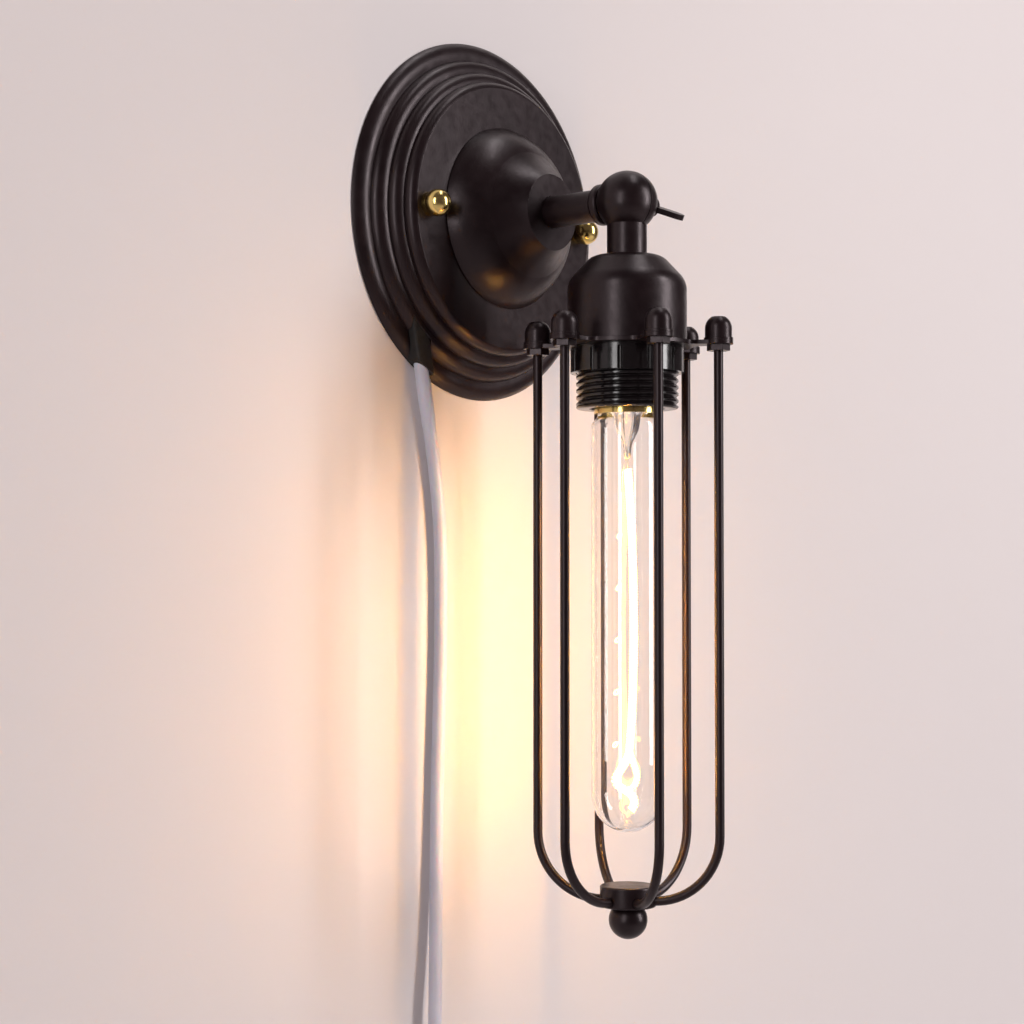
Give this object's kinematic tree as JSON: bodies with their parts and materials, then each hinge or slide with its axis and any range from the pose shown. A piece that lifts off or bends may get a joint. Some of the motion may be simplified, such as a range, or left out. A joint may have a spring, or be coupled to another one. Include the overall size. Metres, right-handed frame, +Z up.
{
  "type": "caged wall sconce",
  "caption": "Caged wall sconce: round stepped wall plate, short arm with a ball joint, long tube bulb in a wire cage, and a plug-in cord with a rocker switch and a coil.",
  "frame": {"origin": "centre of the round wall plate, on the wall's face", "axes": "+Y into the wall, so the lamp stands out along -Y; +Z up; +X to the right when facing the wall"},
  "size_m": [0.15, 0.118, 0.6345],
  "materials": {
    "dark_paint": "satin, dark brown-black",
    "polished_brass": "polished",
    "zinc_steel": "zinc plated",
    "black_bakelite": "gloss black",
    "white_ceramic": "glazed ceramic, pale",
    "clear_glass": "clear",
    "glowing_filament": "glowing wire",
    "dark_rubber": "dull black",
    "pale_pvc": "soft, slightly see-through, pale blue-grey",
    "tie_rubber": "dull black",
    "pale_plastic": "smooth pale grey",
    "block_plastic": "natural plastic",
    "lead_insulation": "brown insulation"
  },
  "bodies": {
    "root": {"mounting_bar": "zinc_steel", "plate_studs": "zinc_steel", "stud_nuts": "zinc_steel", "terminal_block": "block_plastic", "terminal_screws": "zinc_steel", "wall_plate": "dark_paint", "bell": "dark_paint", "ball_nuts": "polished_brass", "arm_tube": "dark_paint", "arm_nuts": "zinc_steel", "arm_leads": "lead_insulation", "arm_ball_half": "dark_paint", "rim_grommet": "dark_rubber", "strain_relief": "pale_pvc", "cord_cores": "lead_insulation", "cord_upper": "pale_pvc", "cord_lower": "pale_pvc", "cord_coil": "pale_pvc", "coil_tie": "tie_rubber", "cord_end": "pale_pvc", "switch_body": "pale_plastic", "plug_body": "pale_plastic", "plug_blades": "polished_brass"},
    "head": {"head_ball_half": "dark_paint", "holder_cup": "dark_paint", "cup_nut": "zinc_steel", "lampholder_cap": "black_bakelite", "lampholder_skirt": "black_bakelite", "shade_ring": "black_bakelite", "contact_insert": "white_ceramic", "centre_contact": "polished_brass", "screw_shell": "polished_brass", "holder_terminals": "polished_brass", "holder_leads": "lead_insulation", "bulb_cap": "polished_brass", "bulb_insulator": "black_bakelite", "bulb_tip_contact": "zinc_steel", "bulb_glass": "clear_glass", "bulb_stem": "clear_glass", "bulb_filament": "glowing_filament", "bulb_supports": "zinc_steel", "cage_plate": "dark_paint", "cage_wire_1": "dark_paint", "cage_wire_2": "dark_paint", "cage_wire_3": "dark_paint", "cage_wire_4": "dark_paint", "cage_wire_5": "dark_paint", "cage_wire_6": "dark_paint", "cap_nuts": "dark_paint", "lock_nuts": "dark_paint", "bottom_collar": "dark_paint", "bottom_ball": "dark_paint"},
    "wing_screw": {"wing_screw": "dark_paint"},
    "switch_rocker": {"switch_rocker": "pale_plastic"}
  },
  "joints": [
    {"name": "head_tilt", "type": "hinge", "parent": "root", "child": "head", "pos_m": [0, -0.0795, 0], "axis": [-1, 0, 0], "range_deg": [-6, 180]},
    {"name": "wing_screw_turn", "type": "hinge", "parent": "head", "child": "wing_screw", "pos_m": [0, -0.0795, 0], "axis": [1, 0, 0], "continuous": true},
    {"name": "rocker_press", "type": "hinge", "parent": "root", "child": "switch_rocker", "pos_m": [-0.0326, -0.0113, -0.375], "axis": [1, 0, 0], "range_deg": [0, 18]}
  ]
}
